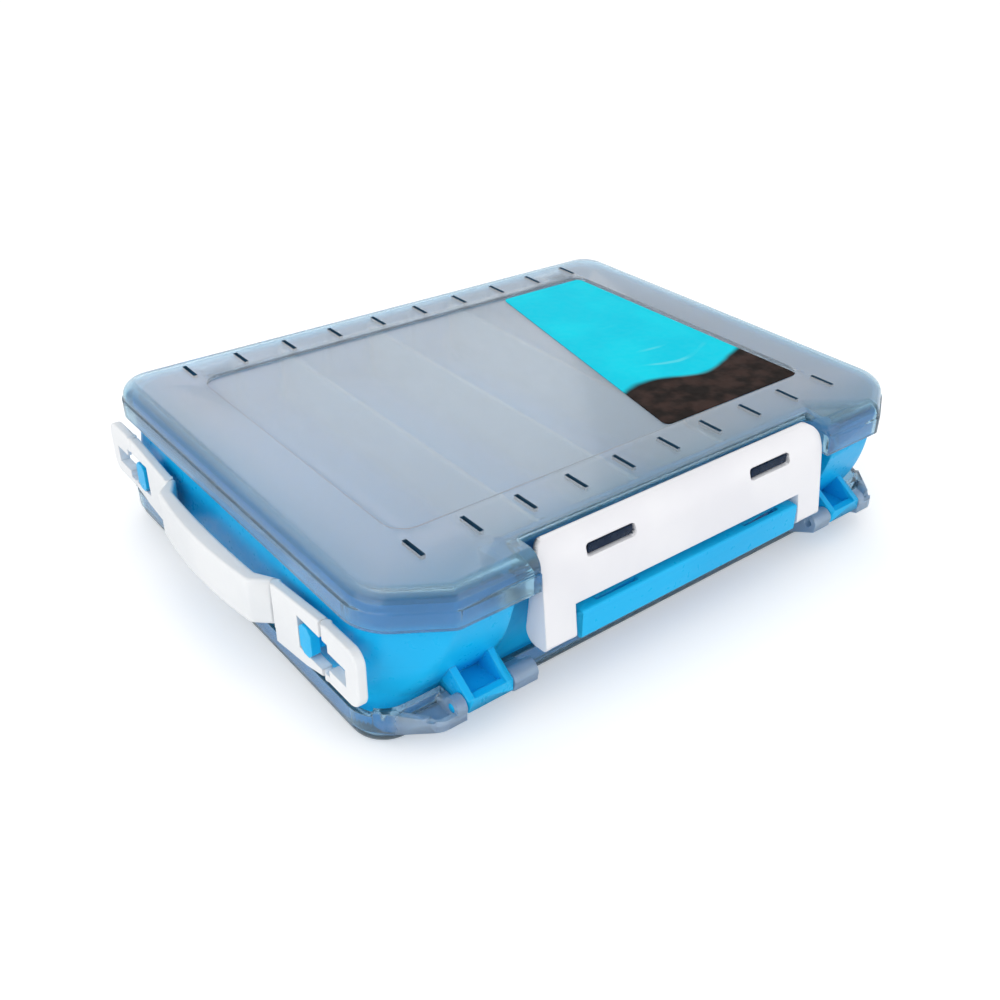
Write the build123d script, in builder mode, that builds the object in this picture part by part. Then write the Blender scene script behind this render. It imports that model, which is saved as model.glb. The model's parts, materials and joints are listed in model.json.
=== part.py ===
from build123d import *
import os

# Overall box: X along its length, the front latch at -Y, the handle at -X, the base at Z = 0.
# It is drawn about its own middle, and each finished piece moves along X so that the origin
# lies under the middle of the whole outline, handle included.
LENGTH = 206.6
LATCH_EDGE = 87.0
LATCH_SWELL = 10.4
HEIGHT = 50.0

# Lids: a crown above a ridge line, a skirt below it, two cut corners on the latch side
LID_DEPTH = 11.0
CROWN_HEIGHT = 5.6
CROWN_ROUND = 4.8
CROWN_ROUND_INSIDE = 3.0
RIDGE_STEP = 0.5
LID_WALL = 1.8
LID_TOP = 2.4
HINGE_CORNER_ROUND = 11.0
CUT_CORNER_LENGTH = 19.8
CUT_CORNER_WIDTH = 12.9
CUT_CORNER_END_ROUND = 15.0
CUT_CORNER_FRONT_ROUND = 4.0

# Recessed panel and vent slits in a lid's face
PANEL_END_BORDER = 22.1
PANEL_SIDE_BORDER = 30.0
PANEL_DEPTH = 0.9
PANEL_ROUND = 7.0
SLIT_COUNT = 10
SLIT_END = 22.3
SLIT_LENGTH = 8.6
SLIT_WIDTH = 1.3
SLIT_ROW_OUT = 7.6

# Label on the top lid, a slanted sheet in the right part of the panel
LABEL_THICKNESS = 0.25
LABEL_MARGIN = 1.6
LABEL_LONG_SIDE = 62.0
LABEL_SHORT_SIDE = 38.0
LABEL_ROUND = 2.0

# Latch notch in a lid's edge, and the two catch lugs on its wall
NOTCH_END = 45.5
NOTCH_DEPTH = 10.5
LUG_WIDTH = 16.0
LUG_IN = 25.7
LUG_REACH = 1.9
LUG_DROP = 8.2
LUG_TALL = 2.8

# Tray: walls inside the lid skirts, one floor at mid height, swollen corners on each lid's latch side
BODY_GAP = 0.8
HINGE_SIDE_GAP = 1.4
BODY_WALL = 2.0
BODY_CORNER_ROUND = 14.0
BODY_CORNER_CUT = 8.7
BODY_TOP_GAP = 1.8
FLOOR = 2.0
BULGE_SIDE_GAP = 6.7
BULGE_CUT_LENGTH = 18.0
BULGE_CUT_WIDTH = 11.7
BULGE_END_ROUND = 12.0
BULGE_FRONT_ROUND = 2.5
BULGE_TAPER_DROP = 2.0
BULGE_BEND_OUT = 5.2
BULGE_BEND_RISE = 9.4
BULGE_LOW_RISE = 1.0

# Hinges: two brackets on the tray for each lid, with a stub pin at both ends
PIN_OUT = 7.5
PIN_DROP = 1.7
PIN_RADIUS = 1.3
PIN_FIT = 0.08
BRACKET_END = 29.7
BRACKET_WIDTH = 14.4
BRACKET_RIB = 2.1
BRACKET_FRONT = 2.7
BRACKET_BELOW = 1.7
BRACKET_BAR_TALL = 3.7
BRACKET_BAR_DEEP = 2.4
BRACKET_FLOOR = 1.6
BRACKET_RISE = 7.3
EAR_ROUND = 3.0
EAR_GAP = 0.4
INNER_EAR = 8.0
INNER_EAR_BACK = 2.4
OUTER_EAR = 3.0
OUTER_EAR_BACK = 3.7
EAR_RELIEF_TALL = 4.6
APRON_STRAIGHT = 7.5
APRON_ROUND = 4.0
APRON_DROP = 1.3
APRON_POCKET = 2.4
APRON_END_IN = 2.6
APRON_END_BACK = 3.9

# Latches: a wide plate with two windows, swinging on stubs at the ends of a bar on the tray
PIVOT_IN = 3.5
PIVOT_DROP = 2.4
STUB_RADIUS = 1.6
STUB_END_GAP = 0.3
BAR_END_IN = 13.6
BAR_FRONT = 4.8
BAR_BELOW = 4.7
BAR_ABOVE = 4.3
BAR_WALL = 2.0
BAR_EDGE_ROUND = 0.8
BAR_SLOT_LENGTH = 15.6
BAR_SLOT_WIDTH = 1.6
BAR_SLOT_IN = 14.5
LATCH_WALL = 2.0
LATCH_SIDE_GAP = 1.4
LATCH_LEG_GAP = 1.6
LATCH_CHEEK = 1.8
LATCH_CHEEK_DEEP = 4.4
LATCH_EAR = 4.0
LATCH_FOOT_BELOW = 3.7
LATCH_SHOULDER_IN = 1.4
LATCH_SHOULDER_DROP = 9.5
LATCH_TIP_GAP = 4.3
LATCH_TIP_DROP = 0.9
LATCH_CUTOUT_GAP = 2.7
LATCH_FOOT_ROUND = 1.4
LATCH_CORNER_ROUND = 4.0
WINDOW_TALL = 3.6
WINDOW_MARGIN = 0.9
WINDOW_ROUND = 1.2

# Strap handle on the left end: a bowed grip, two links and two loops round the tray's pegs
PEG_IN = 21.4
PEG_STEM = 4.4
PEG_STEM_LENGTH = 3.3
PEG_HEAD_WIDTH = 6.0
PEG_HEAD_TALL = 9.4
PEG_HEAD_THICK = 2.6
PEG_HEAD_CORNER = 1.7
STRAP = 3.0
STRAP_GAP = 2.4
STRAP_EDGE_ROUND = 0.7
STRAP_JOINT_GAP = 0.3
GRIP_OUT = 8.0
GRIP_IN = 2.8
GRIP_SHOULDER_OUT = 5.8
GRIP_SHOULDER_IN = 2.0
GRIP_STEP_OUT = 4.0
GRIP_STEP_IN = 6.0
GRIP_SHOULDER_ROUND = 3.0
GRIP_TALL = 14.6
GRIP_EDGE_ROUND = 1.0
LINK_INNER_IN = 18.1
LINK_DROP = 12.1
LINK_KNEE_IN = 2.0
LINK_KNEE_DROP = 9.8
LINK_OUTER_OUT = 8.5
LOOP_RISE = 10.2
LOOP_DROP = 7.6
LOOP_END_OUT = 24.4
LOOP_BAR = 5.6
LOOP_ROUND = 4.5
LOOP_SLOT_OUT = 10.6
LOOP_SLOT_TALL = 5.6
SLOT_GAP = 0.5
SLOT_START_GAP = 1.6

# Dividers: loose plates between guide ribs on the long walls
DIVIDER = 1.6
DIVIDER_GAP = 0.3
DIVIDER_TOP_GAP = 1.0
GUIDE_COUNT = 8
GUIDE_WIDTH = 1.2
GUIDE_DEEP = 1.6
DIVIDER_SLOTS = {"left": -2.5, "middle": -0.5, "right": 1.5}

# Places that follow from the sizes above
half_length = LENGTH / 2
hinge_edge = LATCH_EDGE - LATCH_SWELL
mid_height = HEIGHT / 2
rim_height = HEIGHT - LID_DEPTH
ridge_height = HEIGHT - CROWN_HEIGHT
lid_underside = HEIGHT - LID_TOP
panel_length = LENGTH - 2 * PANEL_END_BORDER
panel_width = 2 * (LATCH_EDGE - PANEL_SIDE_BORDER)
slit_pitch = (LENGTH - 2 * SLIT_END) / (SLIT_COUNT - 1)
notch_width = LENGTH - 2 * NOTCH_END
notch_wall = LATCH_EDGE - NOTCH_DEPTH
lug_spacing = notch_width - 2 * LUG_IN
lug_low = HEIGHT - LUG_DROP
pin_y = hinge_edge + PIN_OUT
pin_height = rim_height - PIN_DROP
bracket_centre = half_length - BRACKET_END
bracket_inside = bracket_centre - BRACKET_WIDTH / 2 - EAR_GAP
bracket_outside = bracket_centre + BRACKET_WIDTH / 2 + EAR_GAP
ear_front = pin_y + BRACKET_FRONT
apron_back = pin_height + OUTER_EAR_BACK
tray_x = half_length - LID_WALL - BODY_GAP
tray_y = hinge_edge - LID_WALL - HINGE_SIDE_GAP
tray_top = lid_underside - BODY_TOP_GAP
bulge_y = LATCH_EDGE - LID_WALL - BODY_GAP
bulge_start = notch_width / 2 + BULGE_SIDE_GAP
bulge_bend_y = tray_y + BULGE_BEND_OUT
floor_top = mid_height + FLOOR / 2
pivot_out = LATCH_EDGE - PIVOT_IN
pivot_height = mid_height - PIVOT_DROP
bar_length = notch_width - 2 * BAR_END_IN
latch_half = notch_width / 2 - LATCH_SIDE_GAP
leg_inside = bar_length / 2 + LATCH_LEG_GAP
bar_top = pivot_height + BAR_ABOVE
strap_x = -(tray_x + STRAP_GAP + STRAP / 2)
slot_half = PEG_HEAD_TALL / 2 + SLOT_GAP
peg_y = tray_y - PEG_IN
link_inner = peg_y - LINK_INNER_IN
link_outer = peg_y + LINK_OUTER_OUT
loop_end = peg_y + LOOP_END_OUT
loop_low = mid_height - LOOP_DROP
joint_pull_back = STRAP / 2 + STRAP_JOINT_GAP
handle_reach = GRIP_OUT - strap_x
centre_shift = (handle_reach - half_length) / 2
beyond = HEIGHT

os.makedirs("parts", exist_ok=True)


def turned(shape):
    """The same shape after half a turn about the box's long axis, which swaps top and bottom."""
    return shape.rotate(Axis((0, 0, mid_height), (1, 0, 0)), 180)


def save(shape, name):
    """Move one finished piece into the shared frame, label it and write it."""
    piece = shape.moved(Location((centre_shift, 0, 0)))
    piece.label = name
    export_step(piece, f"parts/{name}.step")


def lid_outline(height, inset):
    """Plan of the top lid at one height: round corners on the hinge side, cut ones on the latch side."""
    cut_y = -(LATCH_EDGE - CUT_CORNER_WIDTH)
    cut_x = half_length - CUT_CORNER_LENGTH
    with BuildSketch(Plane.XY.offset(height)) as outline:
        with BuildLine():
            FilletPolyline(
                (-half_length, hinge_edge),
                (half_length, hinge_edge),
                (half_length, cut_y),
                (cut_x, -LATCH_EDGE),
                (-cut_x, -LATCH_EDGE),
                (-half_length, cut_y),
                radius=[
                    HINGE_CORNER_ROUND,
                    HINGE_CORNER_ROUND,
                    CUT_CORNER_END_ROUND,
                    CUT_CORNER_FRONT_ROUND,
                    CUT_CORNER_FRONT_ROUND,
                    CUT_CORNER_END_ROUND,
                ],
                close=True,
            )
        make_face()
        if inset:
            offset(amount=-inset)
    return outline.sketch


def hinge_ear(x_start, back):
    """Section of a top lid knuckle: a ring round the pin on an arm that stands out from the skirt."""
    inside = hinge_edge - LID_WALL / 2
    with BuildSketch(Plane.YZ.offset(x_start)) as ear:
        with BuildLine():
            Polyline(
                (inside, rim_height),
                (inside, ridge_height),
                (hinge_edge, ridge_height),
                (ear_front, pin_height + back),
                (ear_front, pin_height),
                (pin_y - EAR_ROUND, pin_height),
                close=True,
            )
        make_face()
        with Locations((pin_y, pin_height)):
            Circle(EAR_ROUND)
    return ear.sketch


def apron_outline(side, inset):
    """Plan of the skirt that runs from an outer knuckle round to the lid's hinge-side corner."""
    with BuildSketch(Plane.XY.offset(rim_height - APRON_DROP)) as apron:
        with BuildLine():
            FilletPolyline(
                (side * bracket_outside, hinge_edge - HINGE_CORNER_ROUND),
                (side * bracket_outside, ear_front),
                (side * (bracket_outside + APRON_STRAIGHT), ear_front),
                (side * (half_length - APRON_END_IN), hinge_edge - APRON_END_BACK),
                (side * (half_length - HINGE_CORNER_ROUND), hinge_edge - HINGE_CORNER_ROUND),
                radius=[0, 0, APRON_ROUND, 0, 0],
                close=True,
            )
        make_face()
        if inset:
            offset(amount=-inset)
            with Locations((0, hinge_edge)):
                Rectangle(2 * LENGTH, LENGTH, align=(Align.CENTER, Align.MAX), mode=Mode.SUBTRACT)
    return apron.sketch


# Space under the top lid, drawn back behind the latch notch
with BuildPart() as lid_hollow:
    extrude(lid_outline(rim_height - beyond, LID_WALL), amount=lid_underside - rim_height + beyond)
    with Locations((0, -notch_wall + LID_WALL, HEIGHT)):
        Box(
            notch_width + 2 * LID_WALL,
            LATCH_EDGE,
            4 * beyond,
            align=(Align.CENTER, Align.MAX, Align.CENTER),
            mode=Mode.SUBTRACT,
        )
    fillet(lid_hollow.faces().sort_by(Axis.Z)[-1].edges(), CROWN_ROUND_INSIDE)

# Top lid: a smoke-clear shell with crown, skirt, notch, lugs, panel, slits and hinge knuckles
with BuildPart() as plain_lid:
    extrude(lid_outline(rim_height, 0), amount=ridge_height - rim_height)
    extrude(lid_outline(ridge_height, RIDGE_STEP), amount=CROWN_HEIGHT)
    fillet(plain_lid.faces().sort_by(Axis.Z)[-1].edges(), CROWN_ROUND)
    with Locations((0, -notch_wall, HEIGHT)):
        Box(
            notch_width,
            LATCH_EDGE,
            2 * beyond,
            align=(Align.CENTER, Align.MAX, Align.CENTER),
            mode=Mode.SUBTRACT,
        )
    for side in (-1, 1):
        extrude(apron_outline(side, 0), amount=ridge_height - rim_height + APRON_DROP)
        extrude(apron_outline(side, LID_WALL), amount=APRON_POCKET, mode=Mode.SUBTRACT)
    with BuildSketch(Plane.YZ):
        with BuildLine():
            Polyline(
                (hinge_edge, ridge_height),
                (ear_front, apron_back),
                (ear_front + beyond, apron_back),
                (ear_front + beyond, HEIGHT),
                (hinge_edge, HEIGHT),
                close=True,
            )
        make_face()
    extrude(amount=half_length, both=True, mode=Mode.SUBTRACT)
    add(lid_hollow.part, mode=Mode.SUBTRACT)
    for side in (-1, 1):
        with Locations((side * bracket_centre, tray_y, rim_height)):
            Box(
                BRACKET_WIDTH + 2 * EAR_GAP,
                hinge_edge,
                EAR_RELIEF_TALL,
                align=(Align.CENTER, Align.MIN, Align.MIN),
                mode=Mode.SUBTRACT,
            )
    for side in (-1, 1):
        extrude(hinge_ear(side * bracket_inside, INNER_EAR_BACK), amount=-side * INNER_EAR)
        extrude(hinge_ear(side * bracket_outside, OUTER_EAR_BACK), amount=side * OUTER_EAR)
    with BuildSketch(Plane.YZ):
        with Locations((pin_y, pin_height)):
            Circle(PIN_RADIUS + PIN_FIT)
    extrude(amount=half_length, both=True, mode=Mode.SUBTRACT)
    with GridLocations(lug_spacing, 0, 2, 1):
        with Locations((0, -notch_wall, lug_low)):
            Box(LUG_WIDTH, LUG_REACH, LUG_TALL, align=(Align.CENTER, Align.MAX, Align.MIN))
    with BuildSketch(Plane.XY.offset(HEIGHT)):
        RectangleRounded(panel_length, panel_width, PANEL_ROUND)
    extrude(amount=-PANEL_DEPTH, mode=Mode.SUBTRACT)
    with BuildSketch(Plane.XY.offset(HEIGHT)):
        with GridLocations(slit_pitch, panel_width + 2 * SLIT_ROW_OUT, SLIT_COUNT, 2):
            Rectangle(SLIT_WIDTH, SLIT_LENGTH)
    extrude(amount=-LID_TOP, mode=Mode.SUBTRACT)
save(plain_lid.part, "top_lid")

# Bottom lid: the same moulding, turned over to the underside
with BuildPart() as bottom_lid:
    add(turned(plain_lid.part))
save(bottom_lid.part, "bottom_lid")

# Label: a thin sheet stuck on the panel floor, with one slanted edge
label_right = panel_length / 2 - LABEL_MARGIN
label_reach = panel_width / 2 - LABEL_MARGIN
with BuildPart() as label:
    with BuildSketch(Plane.XY.offset(HEIGHT - PANEL_DEPTH)):
        with BuildLine():
            FilletPolyline(
                (label_right, label_reach),
                (label_right, -label_reach),
                (label_right - LABEL_LONG_SIDE, -label_reach),
                (label_right - LABEL_SHORT_SIDE, label_reach),
                radius=LABEL_ROUND,
                close=True,
            )
        make_face()
    extrude(amount=LABEL_THICKNESS)
save(label.part, "label")


def wall_outline(height, inset, swell):
    """Plan of the tray's front: swell 0 is its plain round corner, 1 fills the lid's cut corner."""
    front = tray_y + swell * (bulge_y - tray_y)
    plain_cut = BODY_CORNER_CUT * (1 - swell)
    cut_length = plain_cut + BULGE_CUT_LENGTH * swell
    cut_width = plain_cut + BULGE_CUT_WIDTH * swell
    end_round = BODY_CORNER_ROUND + swell * (BULGE_END_ROUND - BODY_CORNER_ROUND)
    front_round = BODY_CORNER_ROUND + swell * (BULGE_FRONT_ROUND - BODY_CORNER_ROUND)
    with BuildSketch(Plane.XY.offset(height)) as outline:
        with BuildLine():
            FilletPolyline(
                (-tray_x, 0),
                (-tray_x, cut_width - front),
                (cut_length - tray_x, -front),
                (tray_x - cut_length, -front),
                (tray_x, cut_width - front),
                (tray_x, 0),
                radius=[0, end_round, front_round, front_round, end_round, 0],
                close=True,
            )
        make_face()
        if inset:
            offset(amount=-inset)
    return outline.sketch


def corner_bulges(inset, overrun):
    """Upper front corners of the tray, which swell out to fill the lid's latch side and draw in below."""
    bend_swell = BULGE_BEND_OUT / (bulge_y - tray_y)
    top = rim_height - BULGE_TAPER_DROP
    with BuildPart() as bulges:
        loft(
            [
                wall_outline(LID_DEPTH + BULGE_LOW_RISE, inset, 0),
                wall_outline(LID_DEPTH + BULGE_BEND_RISE, inset, bend_swell),
                wall_outline(top, inset, 1),
            ]
        )
        extrude(wall_outline(top, inset, 1), amount=tray_top + overrun - top)
        Box(2 * (bulge_start + inset), 4 * LATCH_EDGE, 4 * HEIGHT, mode=Mode.SUBTRACT)
    return bulges.part


def tray_shape(inset, overrun):
    """Outside of the tray drawn in by inset: a rounded prism with bulges at two edges."""
    bulges = corner_bulges(inset, overrun)
    low = HEIGHT - tray_top - overrun
    with BuildPart() as shape:
        with BuildSketch(Plane.XY.offset(low)):
            RectangleRounded(2 * (tray_x - inset), 2 * (tray_y - inset), BODY_CORNER_ROUND - inset)
        extrude(amount=HEIGHT - 2 * low)
        add(bulges)
        add(turned(bulges))
    return shape.part


# Compartment space: everything inside the walls except the mid floor
tray_space = tray_shape(BODY_WALL, beyond)
with BuildPart() as compartments:
    add(tray_space)
    with Locations((0, 0, mid_height)):
        Box(2 * LENGTH, 4 * LATCH_EDGE, FLOOR, mode=Mode.SUBTRACT)

# Hinge brackets of the bottom lid: two ribs, a bar and a floor between them, a stub pin at each end
bottom_pin_height = HEIGHT - pin_height
bracket_low = bottom_pin_height - BRACKET_BELOW
bracket_front = -(pin_y + BRACKET_FRONT)
bracket_deep = -bracket_front - tray_y + BODY_WALL / 2
with BuildPart() as hinge_brackets:
    for side in (-1, 1):
        for end in (-1, 1):
            rib_x = side * bracket_centre + end * (BRACKET_WIDTH - BRACKET_RIB) / 2
            with BuildSketch(Plane.YZ.offset(rib_x)):
                with BuildLine():
                    Polyline(
                        (-tray_y + BODY_WALL / 2, bracket_low),
                        (bracket_front, bracket_low),
                        (bracket_front, bracket_low + BRACKET_BAR_TALL),
                        (-bulge_bend_y, bottom_pin_height + BRACKET_RISE),
                        (-tray_y + BODY_WALL / 2, bottom_pin_height + BRACKET_RISE),
                        close=True,
                    )
                make_face()
            extrude(amount=BRACKET_RIB / 2, both=True)
        with Locations((side * bracket_centre, bracket_front, bracket_low)):
            for deep, tall in ((BRACKET_BAR_DEEP, BRACKET_BAR_TALL), (bracket_deep, BRACKET_FLOOR)):
                Box(BRACKET_WIDTH, deep, tall, align=(Align.CENTER, Align.MIN, Align.MIN))
        with BuildSketch(Plane.YZ.offset(side * bracket_centre)):
            with Locations((-pin_y, bottom_pin_height)):
                Circle(PIN_RADIUS)
        extrude(amount=BRACKET_WIDTH / 2 + EAR_GAP + OUTER_EAR, both=True)

# Front latch bar: a hollow ledge on the wall with two slots in its top and a stub at each end
bar_front = -(pivot_out + BAR_FRONT)
with BuildPart() as latch_bar:
    with Locations((0, bar_front, pivot_height - BAR_BELOW)):
        Box(
            bar_length,
            -bar_front - tray_y + BODY_WALL / 2,
            BAR_BELOW + BAR_ABOVE,
            align=(Align.CENTER, Align.MIN, Align.MIN),
        )
    fillet(latch_bar.edges().filter_by(Axis.X).group_by(Axis.Y)[0], BAR_EDGE_ROUND)
    with Locations((0, bar_front + BAR_WALL, pivot_height - BAR_BELOW)):
        Box(
            bar_length - 2 * BAR_WALL,
            -bar_front - tray_y - BAR_WALL,
            BAR_BELOW + BAR_ABOVE - BAR_WALL,
            align=(Align.CENTER, Align.MIN, Align.MIN),
            mode=Mode.SUBTRACT,
        )
    with BuildSketch(Plane.XY.offset(bar_top)):
        with GridLocations(bar_length - 2 * BAR_SLOT_IN, 0, 2, 1):
            with Locations((0, bar_front + BAR_WALL + BAR_SLOT_WIDTH / 2)):
                Rectangle(BAR_SLOT_LENGTH, BAR_SLOT_WIDTH)
    extrude(amount=-BAR_WALL, mode=Mode.SUBTRACT)
    for side in (-1, 1):
        with BuildSketch(Plane.YZ.offset(side * (bar_length / 2 - BAR_WALL))):
            with Locations((-pivot_out, pivot_height)):
                Circle(STUB_RADIUS)
        extrude(amount=side * (latch_half - LATCH_CHEEK / 2 - bar_length / 2 + BAR_WALL))

# Guide ribs for the dividers, in pairs on both long walls above the floor
guide_wall = tray_y - BODY_WALL
divider_top = tray_top - DIVIDER_TOP_GAP
with BuildPart() as guides:
    for edge in (-1, 1):
        guide_x = edge * (DIVIDER / 2 + DIVIDER_GAP + GUIDE_WIDTH / 2)
        with GridLocations(slit_pitch, 2 * guide_wall - GUIDE_DEEP + BODY_WALL / 2, GUIDE_COUNT, 2):
            with Locations((guide_x, 0, floor_top)):
                Box(
                    GUIDE_WIDTH,
                    GUIDE_DEEP + BODY_WALL / 2,
                    divider_top - floor_top,
                    align=(Align.CENTER, Align.CENTER, Align.MIN),
                )

# Handle pegs on the left end wall: a square stem with a tall eight-sided head
peg_root = -tray_x + BODY_WALL / 2
with BuildPart() as pegs:
    for side in (-1, 1):
        with Locations((peg_root, side * peg_y, mid_height)):
            Box(
                PEG_STEM_LENGTH + BODY_WALL / 2,
                PEG_STEM,
                PEG_STEM,
                align=(Align.MAX, Align.CENTER, Align.CENTER),
            )
        with BuildSketch(Plane.YZ.offset(-tray_x - PEG_STEM_LENGTH)):
            with Locations((side * peg_y, mid_height)):
                peg_head = Rectangle(PEG_HEAD_WIDTH, PEG_HEAD_TALL)
            chamfer(peg_head.vertices(), PEG_HEAD_CORNER)
        extrude(amount=-PEG_HEAD_THICK)

# Tray: the blue moulding that carries everything
tray_outside = tray_shape(0, 0)
with BuildPart() as body:
    add(tray_outside)
    add(compartments.part, mode=Mode.SUBTRACT)
    for feature in (hinge_brackets, latch_bar, guides):
        add(feature.part)
        add(turned(feature.part))
    add(pegs.part)
save(body.part, "body")

# Front latch: a curved plate with cheeks, two legs on the stubs, a cut-out round the bar, two windows
latch_foot = (-(pivot_out + BAR_FRONT), pivot_height - LATCH_FOOT_BELOW)
latch_shoulder = (LATCH_SHOULDER_IN - LATCH_EDGE, HEIGHT - LATCH_SHOULDER_DROP)
latch_tip = (-(notch_wall + LATCH_TIP_GAP), HEIGHT - LATCH_TIP_DROP)
face_rise = (latch_shoulder[0] - latch_foot[0], latch_shoulder[1] - latch_foot[1])
cutout_top = bar_top + LATCH_CUTOUT_GAP


def latch_cheek(x_start, top):
    """Section of a latch side wall, from the face back to the round ear on the pivot."""
    with BuildSketch(Plane.YZ.offset(x_start)) as cheek:
        with BuildLine():
            Polyline(
                latch_foot,
                latch_shoulder,
                (latch_shoulder[0] + LATCH_CHEEK_DEEP, latch_shoulder[1]),
                (-pivot_out + LATCH_EAR, pivot_height),
                (-pivot_out, pivot_height - LATCH_EAR),
                close=True,
            )
        make_face()
        fillet(cheek.vertices().sort_by_distance(latch_foot)[0], LATCH_FOOT_ROUND)
        with Locations((-pivot_out, top)):
            Rectangle(
                2 * HEIGHT,
                HEIGHT,
                align=(Align.CENTER, Align.MIN),
                mode=Mode.SUBTRACT,
            )
        with Locations((-pivot_out, pivot_height)):
            Circle(LATCH_EAR)
    return cheek.sketch


with BuildPart() as front_latch:
    with BuildSketch(Plane.YZ) as latch_section:
        with BuildLine():
            Line(latch_foot, latch_shoulder)
            TangentArc(latch_shoulder, latch_tip, tangent=face_rise)
            Line(latch_tip, (latch_tip[0] + LATCH_WALL, latch_tip[1]))
            TangentArc(
                (latch_shoulder[0] + LATCH_WALL, latch_shoulder[1]),
                (latch_tip[0] + LATCH_WALL, latch_tip[1]),
                tangent=face_rise,
            )
            Line(
                (latch_foot[0] + LATCH_WALL, latch_foot[1]),
                (latch_shoulder[0] + LATCH_WALL, latch_shoulder[1]),
            )
            Line(latch_foot, (latch_foot[0] + LATCH_WALL, latch_foot[1]))
        make_face()
        fillet(latch_section.vertices().sort_by_distance(latch_foot)[0], LATCH_FOOT_ROUND)
    extrude(amount=latch_half, both=True)
    with Locations((0, -pivot_out, 0)):
        Box(
            2 * leg_inside,
            LATCH_EDGE,
            cutout_top,
            align=(Align.CENTER, Align.CENTER, Align.MIN),
            mode=Mode.SUBTRACT,
        )
    for side in (-1, 1):
        extrude(latch_cheek(side * latch_half, latch_shoulder[1]), amount=-side * LATCH_CHEEK)
        extrude(latch_cheek(side * leg_inside, cutout_top), amount=side * LATCH_CHEEK)
    with BuildSketch(Plane.XZ) as latch_front:
        with Locations((0, latch_tip[1])):
            Rectangle(2 * latch_half, HEIGHT, align=(Align.CENTER, Align.MAX))
        fillet(latch_front.vertices().group_by(Axis.Y)[-1], LATCH_CORNER_ROUND)
    extrude(amount=2 * LATCH_EDGE, mode=Mode.INTERSECT)
    with BuildSketch(Plane.YZ):
        with Locations((-pivot_out, pivot_height)):
            Circle(STUB_RADIUS + PIN_FIT)
    extrude(amount=latch_half - LATCH_CHEEK / 2 + STUB_END_GAP, both=True, mode=Mode.SUBTRACT)
    with BuildSketch(Plane.XZ.offset(notch_wall)):
        with GridLocations(lug_spacing, 0, 2, 1):
            with Locations((0, lug_low + LUG_TALL / 2)):
                RectangleRounded(LUG_WIDTH + 2 * WINDOW_MARGIN, WINDOW_TALL, WINDOW_ROUND)
    extrude(amount=LATCH_EDGE, mode=Mode.SUBTRACT)
save(front_latch.part, "front_latch")

# Rear latch: the same moulding on the other side, for the bottom lid
with BuildPart() as rear_latch:
    add(turned(front_latch.part))
save(rear_latch.part, "rear_latch")

# Handle grip: a bar, thickest in the middle, that steps out from the strap next to the two link joints
grip_end = link_inner - joint_pull_back
grip_sides = [
    (strap_x - STRAP / 2, strap_x - GRIP_SHOULDER_OUT, strap_x - GRIP_OUT, grip_end - GRIP_STEP_OUT),
    (strap_x + STRAP / 2, strap_x - GRIP_SHOULDER_IN, strap_x - GRIP_IN, grip_end - GRIP_STEP_IN),
]
with BuildPart() as handle_grip:
    with BuildSketch(Plane.XY.offset(mid_height - GRIP_TALL / 2)) as grip_plan:
        with BuildLine():
            for edge_x, shoulder_x, middle_x, shoulder_y in grip_sides:
                Line((edge_x, -grip_end), (shoulder_x, -shoulder_y))
                ThreePointArc((shoulder_x, -shoulder_y), (middle_x, 0), (shoulder_x, shoulder_y))
                Line((shoulder_x, shoulder_y), (edge_x, grip_end))
            for end_y in (-grip_end, grip_end):
                Line((strap_x - STRAP / 2, end_y), (strap_x + STRAP / 2, end_y))
        make_face()
        shoulders = [v for v in grip_plan.vertices() if abs(v.Y) < grip_end - GRIP_STEP_OUT / 2]
        fillet(shoulders, GRIP_SHOULDER_ROUND)
    extrude(amount=GRIP_TALL)
    grip_rim = handle_grip.faces().filter_by(Axis.Z).edges()
    fillet(grip_rim - grip_rim.filter_by(Axis.X), GRIP_EDGE_ROUND)
save(handle_grip.part, "handle_grip")

# Front link: a tapered plate with the inner part of the peg's slot and a round joint edge
link_end = link_outer - joint_pull_back
slot_start = peg_y - PEG_HEAD_WIDTH / 2 - SLOT_START_GAP
with BuildPart() as front_link:
    with BuildSketch(Plane.YZ.offset(strap_x)):
        with BuildLine():
            Polyline(
                (-link_inner, mid_height - LINK_DROP),
                (-link_inner, mid_height + GRIP_TALL / 2),
                (-link_end, mid_height + LOOP_RISE),
                (-link_end, mid_height - LOOP_DROP),
                (LINK_KNEE_IN - peg_y, mid_height - LINK_KNEE_DROP),
                close=True,
            )
        make_face()
    extrude(amount=STRAP / 2, both=True)
    link_rim = front_link.faces().filter_by(Axis.X).edges()
    fillet(link_rim - link_rim.filter_by(Axis.Z), STRAP_EDGE_ROUND)
    with Locations((strap_x, -slot_start, mid_height)):
        Box(
            2 * STRAP,
            loop_end,
            2 * slot_half,
            align=(Align.CENTER, Align.MAX, Align.CENTER),
            mode=Mode.SUBTRACT,
        )
    with Locations((strap_x, -link_inner, mid_height)):
        Cylinder(STRAP / 2, GRIP_TALL)
save(front_link.part, "handle_link_front")

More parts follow.
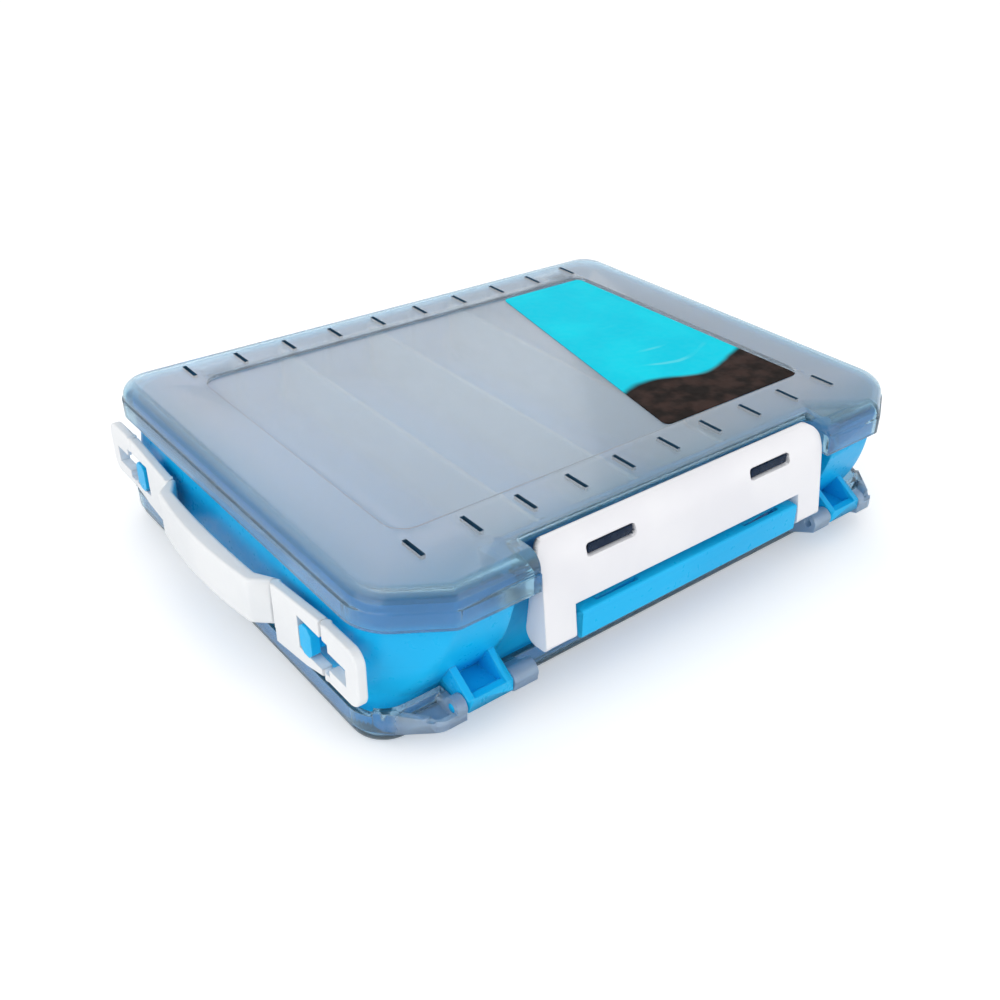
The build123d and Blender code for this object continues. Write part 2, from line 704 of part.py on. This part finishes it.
# Front loop: the end of the strap, closing the slot round the peg
slot_steps = [(peg_y + LOOP_SLOT_OUT, 2 * slot_half), (loop_end - LOOP_BAR, LOOP_SLOT_TALL)]
with BuildPart() as front_loop:
    with BuildSketch(Plane.YZ.offset(strap_x)) as loop_section:
        with Locations((-link_outer, loop_low)):
            Rectangle(loop_end - link_outer, LOOP_RISE + LOOP_DROP, align=(Align.MAX, Align.MIN))
        fillet(loop_section.vertices().group_by(Axis.X)[0], LOOP_ROUND)
    extrude(amount=STRAP / 2, both=True)
    loop_rim = front_loop.faces().filter_by(Axis.X).edges()
    fillet(loop_rim - loop_rim.group_by(Axis.Y)[-1], STRAP_EDGE_ROUND)
    with Locations((strap_x, -link_outer, loop_low)):
        Cylinder(STRAP / 2, LOOP_RISE + LOOP_DROP, align=(Align.CENTER, Align.CENTER, Align.MIN))
    for slot_end, slot_tall in slot_steps:
        with Locations((strap_x, -slot_end, mid_height)):
            Box(
                2 * STRAP,
                loop_end,
                slot_tall,
                align=(Align.CENTER, Align.MIN, Align.CENTER),
                mode=Mode.SUBTRACT,
            )
save(front_loop.part, "handle_loop_front")

# Rear link and loop: mirror images of the front ones
with BuildPart() as rear_link:
    add(mirror(front_link.part, about=Plane.XZ, mode=Mode.PRIVATE))
save(rear_link.part, "handle_link_rear")
with BuildPart() as rear_loop:
    add(mirror(front_loop.part, about=Plane.XZ, mode=Mode.PRIVATE))
save(rear_loop.part, "handle_loop_rear")

# Dividers: three plates above the floor and three below it, between their guide ribs
divider_half = guide_wall - DIVIDER_GAP
for place, slot in DIVIDER_SLOTS.items():
    with BuildPart() as divider:
        with Locations((slot * slit_pitch, 0, floor_top)):
            Box(
                DIVIDER,
                2 * divider_half,
                divider_top - floor_top,
                align=(Align.CENTER, Align.CENTER, Align.MIN),
            )
    save(divider.part, f"divider_top_{place}")
    with BuildPart() as divider_below:
        add(turned(divider.part))
    save(divider_below.part, f"divider_bottom_{place}")
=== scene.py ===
import json
import math
import bpy
from mathutils import Matrix, Vector

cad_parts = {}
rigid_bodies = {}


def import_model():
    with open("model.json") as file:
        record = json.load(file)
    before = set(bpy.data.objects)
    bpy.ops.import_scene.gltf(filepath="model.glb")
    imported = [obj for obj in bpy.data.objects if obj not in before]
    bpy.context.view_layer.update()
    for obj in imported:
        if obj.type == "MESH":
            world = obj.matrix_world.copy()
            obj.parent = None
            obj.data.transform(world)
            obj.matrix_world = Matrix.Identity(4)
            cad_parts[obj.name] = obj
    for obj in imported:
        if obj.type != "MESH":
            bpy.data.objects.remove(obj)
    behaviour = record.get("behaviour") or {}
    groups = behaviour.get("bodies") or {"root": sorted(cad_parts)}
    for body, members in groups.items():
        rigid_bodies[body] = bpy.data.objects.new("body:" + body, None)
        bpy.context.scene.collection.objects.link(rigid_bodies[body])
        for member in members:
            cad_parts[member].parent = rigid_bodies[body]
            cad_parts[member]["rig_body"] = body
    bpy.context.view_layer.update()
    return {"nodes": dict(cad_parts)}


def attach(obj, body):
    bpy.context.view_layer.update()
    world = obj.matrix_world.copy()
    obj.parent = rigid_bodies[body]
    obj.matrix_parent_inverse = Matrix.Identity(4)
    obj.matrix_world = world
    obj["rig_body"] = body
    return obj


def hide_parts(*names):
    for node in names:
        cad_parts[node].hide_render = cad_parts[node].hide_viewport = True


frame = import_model()
bpy.ops.object.select_all(action="DESELECT")

# Tray: the blue moulding with a floor at mid height that carries hinges, latch bars and handle pegs.
# Glossy polypropylene from a two-part mould, whose halves leave a fine witness line round the wall.
# Its edges are eased by the mould, and the outer ones are rubbed a little paler.
TRAY_BLUE = (0.006, 0.480, 0.880, 1)
TRAY_DEEP = (0.004, 0.435, 0.825, 1)
TRAY_RUBBED = (0.10, 0.52, 0.84, 1)
TRAY_EDGE = 0.0004
SHIFT = 0.00465
MID_HEIGHT = 0.025
MERGE_DISTANCE = 0.000002
SMOOTH_ANGLE = math.radians(28)


def merged_copy(node, name):
    """A copy of one solid as a single closed skin, flat on its faces and smooth round its curves."""
    bpy.ops.object.select_all(action="DESELECT")
    piece = bpy.data.objects.new(name, frame["nodes"][node].data.copy())
    bpy.context.scene.collection.objects.link(piece)
    bpy.context.view_layer.objects.active = piece
    piece.select_set(True)
    piece.data.materials.clear()
    bpy.ops.object.mode_set(mode="EDIT")
    bpy.ops.mesh.select_all(action="SELECT")
    bpy.ops.mesh.remove_doubles(threshold=MERGE_DISTANCE)
    bpy.ops.object.mode_set(mode="OBJECT")
    bpy.ops.object.shade_smooth_by_angle(angle=SMOOTH_ANGLE)
    faces = piece.modifiers.new("faces", "WEIGHTED_NORMAL")
    faces.keep_sharp = True
    bpy.ops.object.modifier_apply(modifier="faces")
    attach(piece, frame["nodes"][node]["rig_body"])
    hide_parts(node)
    return piece


def new_finish(name):
    """A material holding one shader, with the piece's own coordinates to paint by."""
    finish = bpy.data.materials.new(name)
    finish.use_nodes = True
    tree = finish.node_tree
    tree.nodes.clear()
    output = tree.nodes.new("ShaderNodeOutputMaterial")
    shader = tree.nodes.new("ShaderNodeBsdfPrincipled")
    place = tree.nodes.new("ShaderNodeTexCoord").outputs["Object"]
    tree.links.new(shader.outputs["BSDF"], output.inputs["Surface"])
    return finish, tree, shader, place


def feed(tree, socket, value):
    """Puts a number, a colour or another node's output on a socket."""
    if isinstance(value, bpy.types.NodeSocket):
        tree.links.new(value, socket)
    else:
        socket.default_value = value


def cloud(tree, place, scale, detail=2.0, stretch=None):
    """Soft random patches, scale of them to a metre."""
    if stretch:
        mapping = tree.nodes.new("ShaderNodeMapping")
        mapping.inputs["Scale"].default_value = stretch
        tree.links.new(place, mapping.inputs["Vector"])
        place = mapping.outputs["Vector"]
    noise = tree.nodes.new("ShaderNodeTexNoise")
    noise.inputs["Scale"].default_value = scale
    noise.inputs["Detail"].default_value = detail
    tree.links.new(place, noise.inputs["Vector"])
    return noise.outputs["Fac"]


def spread(tree, value, low, high, start, end):
    """Maps a value between low and high on to the range from start to end."""
    node = tree.nodes.new("ShaderNodeMapRange")
    node.interpolation_type = "SMOOTHSTEP"
    feed(tree, node.inputs["Value"], value)
    for socket, number in (("From Min", low), ("From Max", high), ("To Min", start), ("To Max", end)):
        node.inputs[socket].default_value = number
    return node.outputs["Result"]


def tint(tree, amount, first, second):
    """First colour where the amount is 0, second where it is 1."""
    node = tree.nodes.new("ShaderNodeMix")
    node.data_type = "RGBA"
    feed(tree, node.inputs["Factor"], amount)
    feed(tree, node.inputs[6], first)
    feed(tree, node.inputs[7], second)
    return node.outputs[2]


def sums(tree, operation, first, second=0.0):
    """One step of arithmetic between two values."""
    node = tree.nodes.new("ShaderNodeMath")
    node.operation = operation
    feed(tree, node.inputs[0], first)
    feed(tree, node.inputs[1], second)
    return node.outputs["Value"]


def axes(tree, place):
    """The x, y and z of a place."""
    node = tree.nodes.new("ShaderNodeSeparateXYZ")
    tree.links.new(place, node.inputs["Vector"])
    return node.outputs["X"], node.outputs["Y"], node.outputs["Z"]


def rounded(tree, radius):
    """The way a surface faces when its edges are rounded by the mould."""
    turn = tree.nodes.new("ShaderNodeBevel")
    turn.samples = 6
    turn.inputs["Radius"].default_value = radius
    return turn.outputs["Normal"]


def worn_edge(tree, radius, place):
    """Where the surface turns over an edge, broken up as rubbing leaves it."""
    flat = tree.nodes.new("ShaderNodeNewGeometry").outputs["Normal"]
    dot = tree.nodes.new("ShaderNodeVectorMath")
    dot.operation = "DOT_PRODUCT"
    tree.links.new(rounded(tree, radius), dot.inputs[0])
    tree.links.new(flat, dot.inputs[1])
    edge = spread(tree, dot.outputs["Value"], 0.90, 0.995, 1.0, 0.0)
    patches = spread(tree, cloud(tree, place, 160, 3), 0.40, 0.62, 0.15, 1.0)
    return sums(tree, "MULTIPLY", edge, patches)


def grain(tree, shader, place, scale, height, edge):
    """The fine skin that the mould leaves on a surface, over edges rounded by it."""
    bump = tree.nodes.new("ShaderNodeBump")
    bump.inputs["Strength"].default_value = 0.5
    bump.inputs["Distance"].default_value = height
    tree.links.new(cloud(tree, place, scale, 3), bump.inputs["Height"])
    tree.links.new(rounded(tree, edge), bump.inputs["Normal"])
    tree.links.new(bump.outputs["Normal"], shader.inputs["Normal"])


tray_finish, tree, shader, place = new_finish("tray_plastic")
z = axes(tree, place)[2]
tone = tint(tree, spread(tree, cloud(tree, place, 16), 0.35, 0.65, 0, 1), TRAY_BLUE, TRAY_DEEP)
from_middle = sums(tree, "ABSOLUTE", sums(tree, "SUBTRACT", z, MID_HEIGHT))
witness = spread(tree, from_middle, 0.0001, 0.0004, 0.30, 0.0)
tone = tint(tree, witness, tone, TRAY_DEEP)
tone = tint(tree, sums(tree, "MULTIPLY", worn_edge(tree, 0.0006, place), 0.45), tone, TRAY_RUBBED)
tree.links.new(tone, shader.inputs["Base Color"])
tree.links.new(spread(tree, cloud(tree, place, 420, 3), 0.3, 0.7, 0.27, 0.38), shader.inputs["Roughness"])
shader.inputs["IOR"].default_value = 1.32
grain(tree, shader, place, 2600, 0.00003, TRAY_EDGE)
tray = merged_copy("body", "tray_moulding")
tray.data.materials.append(tray_finish)

# Dividers: loose clear plates that stand between guide ribs, three above the floor and three below it.
# Cut from polystyrene sheet, so their edges catch the light and look pale through the lid.
DIVIDER_CLEAR = (0.86, 0.89, 0.91, 1)
DIVIDER_HAZE = (0.90, 0.93, 0.95, 1)
divider_finish, tree, shader, place = new_finish("divider_sheet")
haze = spread(tree, cloud(tree, place, 60), 0.35, 0.65, 0, 1)
tree.links.new(tint(tree, haze, DIVIDER_CLEAR, DIVIDER_HAZE), shader.inputs["Base Color"])
tree.links.new(spread(tree, cloud(tree, place, 300), 0.3, 0.7, 0.30, 0.42), shader.inputs["Roughness"])
shader.inputs["Transmission Weight"].default_value = 0.2
shader.inputs["IOR"].default_value = 1.5
grain(tree, shader, place, 1800, 0.00002, 0.0002)
for level in ("top", "bottom"):
    for spot in ("left", "middle", "right"):
        plate = merged_copy(f"divider_{level}_{spot}", f"divider_plate_{level}_{spot}")
        plate.data.materials.append(divider_finish)

# Lids: two equal smoke-grey shells, each hinged on one long side, with vent slits and a sunk panel.
# Translucent polypropylene: polished and see-through on crown and skirt, etched to a frost on top, with
# fine scuffs there;
# the hinge apron is cloudier; painted shade: the rim is tinted darker blue for the tray's wall seen
# through it, and the vent slits are painted dark navy.
LID_SMOKE = (0.36, 0.66, 0.84, 1)
LID_RIM_PAINTED_TINT = (0.20, 0.57, 0.78, 1)
LID_APRON = (0.52, 0.65, 0.82, 1)
LID_FROST = (0.76, 0.88, 0.98, 1)
LID_SCUFF = (0.90, 0.94, 0.98, 1)
LID_SLIT_PAINTED_SHADE = (0.030, 0.090, 0.160, 1)
LID_EDGE = 0.0004
SLIT_PITCH = 0.018
SLIT_ROW = 0.0646
SLIT_HALF_WIDTH = 0.00072
SLIT_HALF_LENGTH = 0.0044
SLIT_DEPTH_FROM = 0.0224
SLIT_ROW_END = SLIT_PITCH * 5
lid_finish, tree, shader, place = new_finish("lid_smoke_plastic")
x, y, z = axes(tree, place)
along = sums(tree, "ABSOLUTE", sums(tree, "SUBTRACT", x, SHIFT))
across = sums(tree, "ABSOLUTE", y)
outward = sums(tree, "ABSOLUTE", sums(tree, "SUBTRACT", z, MID_HEIGHT))
frosted = spread(tree, outward, 0.0228, 0.0242, 0.0, 1.0)
from_slit = sums(tree, "PINGPONG", sums(tree, "SUBTRACT", along, SLIT_PITCH / 2), SLIT_PITCH / 2)
off_row = sums(tree, "ABSOLUTE", sums(tree, "SUBTRACT", across, SLIT_ROW))
slit_shade_mask = sums(tree, "LESS_THAN", from_slit, SLIT_HALF_WIDTH)
slit_shade_mask = sums(tree, "MULTIPLY", slit_shade_mask, sums(tree, "LESS_THAN", off_row, SLIT_HALF_LENGTH))
slit_shade_mask = sums(tree, "MULTIPLY", slit_shade_mask, sums(tree, "GREATER_THAN", outward, SLIT_DEPTH_FROM))
slit_shade_mask = sums(tree, "MULTIPLY", slit_shade_mask, sums(tree, "LESS_THAN", along, SLIT_ROW_END))
tone = tint(tree, frosted, LID_SMOKE, LID_FROST)
# Painted shade and show-through: near the lid's edges the crown and skirt are tinted a darker blue,
# standing in for the tray's wall seen through them.
near_end = spread(tree, along, 0.088, 0.103, 0.0, 0.5)
near_side = spread(tree, across, 0.062, 0.085, 0.0, 0.8)
painted_rim_tint = sums(tree, "MAXIMUM", near_end, near_side)
painted_rim_tint = sums(tree, "MULTIPLY", painted_rim_tint, spread(tree, outward, 0.017, 0.022, 0.0, 1.0))
tone = tint(tree, painted_rim_tint, tone, LID_RIM_PAINTED_TINT)
hinge_side = sums(tree, "MULTIPLY", sums(tree, "SUBTRACT", z, MID_HEIGHT), y)
hinge_side = sums(tree, "GREATER_THAN", hinge_side, 0.0)
apron = sums(tree, "MULTIPLY", hinge_side, spread(tree, across, 0.0755, 0.0785, 0.0, 1.0))
tone = tint(tree, sums(tree, "MULTIPLY", apron, 0.8), tone, LID_APRON)
flow = spread(tree, cloud(tree, place, 22, 3, (1.0, 0.35, 1.0)), 0.35, 0.65, 0.0, 0.25)
tone = tint(tree, flow, tone, LID_FROST)
scuffs = spread(tree, cloud(tree, place, 240, 4, (1.0, 0.06, 1.0)), 0.66, 0.74, 0.0, 0.3)
tone = tint(tree, sums(tree, "MULTIPLY", scuffs, frosted), tone, LID_SCUFF)
# Painted shade: the vent slits are coloured dark navy for the shade inside them, and the lid lets no light
# through there.
tone = tint(tree, slit_shade_mask, tone, LID_SLIT_PAINTED_SHADE)
tree.links.new(tone, shader.inputs["Base Color"])
skin = spread(tree, cloud(tree, place, 500, 3), 0.3, 0.7, 0.09, 0.14)
skin = sums(tree, "ADD", skin, sums(tree, "MULTIPLY", frosted, 0.08))
skin = sums(tree, "ADD", skin, sums(tree, "MULTIPLY", apron, 0.22))
tree.links.new(skin, shader.inputs["Roughness"])
clear = sums(tree, "SUBTRACT", 0.93, sums(tree, "MULTIPLY", frosted, 0.18))
clear = sums(tree, "SUBTRACT", clear, sums(tree, "MULTIPLY", apron, 0.25))
clear = sums(tree, "MULTIPLY", clear, sums(tree, "SUBTRACT", 1.0, slit_shade_mask))
tree.links.new(clear, shader.inputs["Transmission Weight"])
shader.inputs["IOR"].default_value = 1.45
shader.inputs["Coat Weight"].default_value = 0.25
shader.inputs["Coat Roughness"].default_value = 0.05
grain(tree, shader, place, 2200, 0.00002, LID_EDGE)
for node, name in (("top_lid", "lid_shell_top"), ("bottom_lid", "lid_shell_bottom")):
    lid = merged_copy(node, name)
    lid.data.materials.append(lid_finish)

# Catch lugs: two blocks on each lid's latch wall that stand in the closed latch's windows.
# Moulded with the lid, with a small round on every edge; their smoke colour is painted dark as the shade
# inside the latch's windows.
LUG_SMOKE_PAINTED_SHADE = (0.034, 0.058, 0.115, 1)
LUG_DUST_AND_SHADE = (0.050, 0.078, 0.135, 1)
LUG_SIZE = (0.0160, 0.0064, 0.0027)
LUG_PLACE = 0.0321
LUG_OUT = 0.0814
LUG_HEIGHT = 0.0432
LUG_ROUND = 0.0003
lug_shade_finish, tree, shader, place = new_finish("lug_painted_shade_plastic")
# Painted shade: both tones are dark smoke to stand for the shade in the latch windows.
tone = tint(tree, spread(tree, cloud(tree, place, 200, 3), 0.4, 0.65, 0, 1), LUG_SMOKE_PAINTED_SHADE, LUG_DUST_AND_SHADE)
tree.links.new(tone, shader.inputs["Base Color"])
tree.links.new(spread(tree, cloud(tree, place, 600, 3), 0.3, 0.7, 0.25, 0.36), shader.inputs["Roughness"])
shader.inputs["Transmission Weight"].default_value = 0.6
shader.inputs["IOR"].default_value = 1.15
grain(tree, shader, place, 2200, 0.00002, LUG_ROUND)
for lid, turn in (("top", 1), ("bottom", -1)):
    for side in (-1, 1):
        bpy.ops.object.select_all(action="DESELECT")
        middle = (SHIFT + side * LUG_PLACE, -turn * LUG_OUT, MID_HEIGHT + turn * (LUG_HEIGHT - MID_HEIGHT))
        bpy.ops.mesh.primitive_cube_add(size=1, location=middle)
        lug = bpy.context.object
        lug.name = f"catch_lug_{lid}_{'left' if side < 0 else 'right'}"
        lug.scale = LUG_SIZE
        bpy.ops.object.transform_apply(location=True, scale=True)
        bpy.ops.object.mode_set(mode="EDIT")
        bpy.ops.mesh.select_all(action="SELECT")
        bpy.ops.mesh.bevel(offset=LUG_ROUND, segments=3, affect="EDGES")
        bpy.ops.object.mode_set(mode="OBJECT")
        bpy.ops.object.shade_smooth_by_angle(angle=SMOOTH_ANGLE)
        lug.data.materials.append(lug_shade_finish)
        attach(lug, f"{lid}_lid")

# Label: a thin printed film stuck in the right part of the top panel, with one slanted edge.
# A plain water pattern: cyan ground, pale ripple lines and a dark brown shore along the front.
LABEL_CYAN = (0.001, 0.600, 0.780, 1)
LABEL_BRIGHT = (0.003, 0.660, 0.820, 1)
LABEL_PALE = (0.16, 0.74, 0.83, 1)
LABEL_BROWN = (0.014, 0.010, 0.009, 1)
LABEL_RUST = (0.045, 0.026, 0.022, 1)
label_finish, tree, shader, place = new_finish("label_print")
x, y = axes(tree, place)[:2]
sway = sums(tree, "MULTIPLY", sums(tree, "SINE", sums(tree, "MULTIPLY", x, 130.0)), 0.0035)
drift = sums(tree, "MULTIPLY", sums(tree, "SUBTRACT", cloud(tree, place, 45), 0.5), 0.006)
level = sums(tree, "ADD", y, sums(tree, "ADD", sway, drift))
ground = tint(tree, spread(tree, cloud(tree, place, 40), 0.35, 0.65, 0, 1), LABEL_CYAN, LABEL_BRIGHT)
ripple = spread(tree, sums(tree, "SINE", sums(tree, "MULTIPLY", level, 520.0)), 0.86, 0.99, 0.0, 0.5)
ripple = sums(tree, "MULTIPLY", ripple, spread(tree, cloud(tree, place, 32), 0.45, 0.6, 0, 1))
ground = tint(tree, ripple, ground, LABEL_PALE)
shore = spread(tree, level, -0.034, -0.031, 1.0, 0.0)
soil = tint(tree, spread(tree, cloud(tree, place, 120, 4), 0.4, 0.65, 0, 1), LABEL_BROWN, LABEL_RUST)
tree.links.new(tint(tree, shore, ground, soil), shader.inputs["Base Color"])
tree.links.new(spread(tree, cloud(tree, place, 380), 0.3, 0.7, 0.40, 0.52), shader.inputs["Roughness"])
shader.inputs["IOR"].default_value = 1.1
grain(tree, shader, place, 1500, 0.00001, 0.0001)
sheet = merged_copy("label", "label_film")
sheet.data.materials.append(label_finish)

# Latches: two equal wide plates that swing on stubs at the ends of the tray's bars, one for each lid.
# White satin ABS with two windows for the lid's lugs; the edges are rounded for the fingers.
# Above its shoulder the plate bends inward in an arc, which is shaded as one smooth curve.
LATCH_WHITE = (0.85, 0.85, 0.88, 1)
LATCH_SHADE = (0.80, 0.80, 0.84, 1)
LATCH_RUBBED = (0.92, 0.92, 0.93, 1)
LATCH_EDGE = 0.0005
LATCH_FOOT = Vector((-0.0883, 0.0189))
LATCH_SHOULDER = Vector((-0.0856, 0.0405))
LATCH_TIP = Vector((-0.0808, 0.0491))
BEND_TOLERANCE = 0.00005
latch_finish, tree, shader, place = new_finish("latch_plastic")
tone = tint(tree, spread(tree, cloud(tree, place, 30, 3), 0.35, 0.65, 0, 1), LATCH_WHITE, LATCH_SHADE)
tone = tint(tree, sums(tree, "MULTIPLY", worn_edge(tree, 0.0008, place), 0.6), tone, LATCH_RUBBED)
tree.links.new(tone, shader.inputs["Base Color"])
tree.links.new(spread(tree, cloud(tree, place, 350, 3), 0.3, 0.7, 0.30, 0.42), shader.inputs["Roughness"])
shader.inputs["IOR"].default_value = 1.5
grain(tree, shader, place, 2400, 0.00003, LATCH_EDGE)
rise = (LATCH_SHOULDER - LATCH_FOOT).normalized()
inward = Vector((rise.y, -rise.x))
chord = LATCH_TIP - LATCH_SHOULDER
bend_radius = chord.length_squared / (2 * inward.dot(chord))
bend_middle = LATCH_SHOULDER + bend_radius * inward
for node, name, side in (("front_latch", "latch_plate_front", 1), ("rear_latch", "latch_plate_rear", -1)):
    latch = merged_copy(node, name)
    middle = Vector((0, side * bend_middle.x, MID_HEIGHT + side * (bend_middle.y - MID_HEIGHT)))
    facing = [corner.vector.copy() for corner in latch.data.corner_normals]
    for face in latch.data.polygons:
        for corner in face.loop_indices:
            outward = latch.data.vertices[latch.data.loops[corner].vertex_index].co - middle
            outward.x = 0
            on_bend = abs(outward.length - bend_radius) < BEND_TOLERANCE
            if on_bend and outward.normalized().dot(face.normal) > 0.9:
                facing[corner] = outward.normalized()
    latch.data.normals_split_custom_set(facing)
    latch.data.materials.append(latch_finish)

# Strap handle: one soft white moulding in five stretches, hung by its two loops on the tray's pegs.
# Flexible polyethylene with a dull, faintly pebbled skin; the grip is thickest in the middle.
STRAP_WHITE = (0.81, 0.825, 0.84, 1)
STRAP_SHADE = (0.77, 0.79, 0.81, 1)
STRAP_RUBBED = (0.86, 0.87, 0.88, 1)
STRAP_EDGE = 0.0004
strap_finish, tree, shader, place = new_finish("strap_plastic")
tone = tint(tree, spread(tree, cloud(tree, place, 36, 3), 0.35, 0.65, 0, 1), STRAP_WHITE, STRAP_SHADE)
tone = tint(tree, sums(tree, "MULTIPLY", worn_edge(tree, 0.0008, place), 0.6), tone, STRAP_RUBBED)
tree.links.new(tone, shader.inputs["Base Color"])
tree.links.new(spread(tree, cloud(tree, place, 300, 3), 0.3, 0.7, 0.42, 0.55), shader.inputs["Roughness"])
shader.inputs["IOR"].default_value = 1.5
grain(tree, shader, place, 1600, 0.00006, STRAP_EDGE)
for stretch in ("grip", "link_front", "link_rear", "loop_front", "loop_rear"):
    strap = merged_copy(f"handle_{stretch}", f"strap_{stretch}")
    strap.data.materials.append(strap_finish)

# Floor: a wide sheet of plain white studio paper that the box lies on.
# It glows a little to the camera so that it looks white, and keeps the box's soft shadow.
FLOOR_WHITE = (0.93, 0.93, 0.93, 1)
FLOOR_SHADE = (0.92, 0.92, 0.92, 1)
FLOOR_GLOW = 0.26
FLOOR_SIZE = 12
FLOOR_DROP = 0.0002
floor_finish, tree, shader, place = new_finish("floor_paper")
paper = spread(tree, cloud(tree, place, 6), 0.3, 0.7, 0, 1)
tree.links.new(tint(tree, paper, FLOOR_WHITE, FLOOR_SHADE), shader.inputs["Base Color"])
shader.inputs["Roughness"].default_value = 0.9
shader.inputs["Specular IOR Level"].default_value = 0.0
seen = tree.nodes.new("ShaderNodeLightPath").outputs["Is Camera Ray"]
tree.links.new(sums(tree, "MULTIPLY", seen, FLOOR_GLOW), shader.inputs["Emission Strength"])
shader.inputs["Emission Color"].default_value = (1, 1, 1, 1)
bpy.ops.object.select_all(action="DESELECT")
bpy.ops.mesh.primitive_plane_add(size=FLOOR_SIZE, location=(0, 0, -FLOOR_DROP))
floor = bpy.context.object
floor.name = "studio_floor"
bpy.ops.object.transform_apply(location=True)
floor.data.materials.append(floor_finish)

# Light: a white room with large soft lamps at the left, in front and behind, as for a catalogue picture.
# The room is dimmer in reflections, brightest near the horizon, and plain white to the camera.
ROOM_LIGHT = 0.83
ROOM_IN_GLOSS = 0.30
HORIZON_IN_GLOSS = 0.9
LAMP_AIM = (0, 0, 0.02)
world = bpy.data.worlds.new("white_room")
bpy.context.scene.world = world
world.use_nodes = True
tree = world.node_tree
tree.nodes.clear()
path = tree.nodes.new("ShaderNodeLightPath")
clear_view = sums(tree, "MAXIMUM", path.outputs["Is Camera Ray"], path.outputs["Is Transmission Ray"])
room = tree.nodes.new("ShaderNodeBackground")
room.inputs["Color"].default_value = (1, 1, 1, 1)
height = axes(tree, tree.nodes.new("ShaderNodeTexCoord").outputs["Generated"])[2]
gloss = spread(tree, height, 0.42, 0.64, HORIZON_IN_GLOSS, ROOM_IN_GLOSS)
gloss = sums(tree, "MULTIPLY", path.outputs["Is Glossy Ray"], sums(tree, "SUBTRACT", gloss, ROOM_LIGHT))
strength = sums(tree, "ADD", gloss, ROOM_LIGHT)
strength = sums(tree, "ADD", strength, sums(tree, "MULTIPLY", clear_view, 1.0 - ROOM_LIGHT))
tree.links.new(strength, room.inputs["Strength"])
tree.links.new(room.outputs["Background"], tree.nodes.new("ShaderNodeOutputWorld").inputs["Surface"])


def lamp(name, place, size, power):
    """A soft square lamp at a place, pointed at the box."""
    data = bpy.data.lights.new(name, "AREA")
    data.shape = "SQUARE"
    data.size = size
    data.energy = power
    light = bpy.data.objects.new(name, data)
    bpy.context.scene.collection.objects.link(light)
    light.location = place
    light.rotation_mode = "QUATERNION"
    light.rotation_quaternion = (Vector(LAMP_AIM) - Vector(place)).to_track_quat("-Z", "Y")


lamp("lamp_left", (-0.85, -0.20, 0.40), 0.9, 2.8)
lamp("lamp_front", (0.45, -0.95, 0.30), 0.9, 2.2)
lamp("lamp_back", (0.35, 0.75, 0.75), 0.7, 1.5)

# Camera: looks down at the front left corner, with the lens slightly off centre.
CAMERA_PLACE = (-0.19964746, -0.25662332, 0.20375862)
CAMERA_RIGHT = Vector((0.76955783, -0.6380955, 0.02479675))
CAMERA_UP = Vector((0.31285008, 0.41058734, 0.85647117))
CAMERA_BACK = Vector((-0.55669163, -0.65134643, 0.51559893))
camera_data = bpy.data.cameras.new("photo_camera")
camera_data.sensor_width = 36.0
camera_data.lens = 39.53
camera_data.shift_x = -0.04
camera_data.shift_y = -0.01
camera_data.clip_start = 0.01
camera_data.clip_end = 50.0
camera = bpy.data.objects.new("photo_camera", camera_data)
bpy.context.scene.collection.objects.link(camera)
turn = Matrix((CAMERA_RIGHT, CAMERA_UP, CAMERA_BACK)).transposed().to_4x4()
camera.matrix_world = Matrix.Translation(CAMERA_PLACE) @ turn
bpy.context.scene.camera = camera
bpy.context.scene.view_settings.view_transform = "Standard"
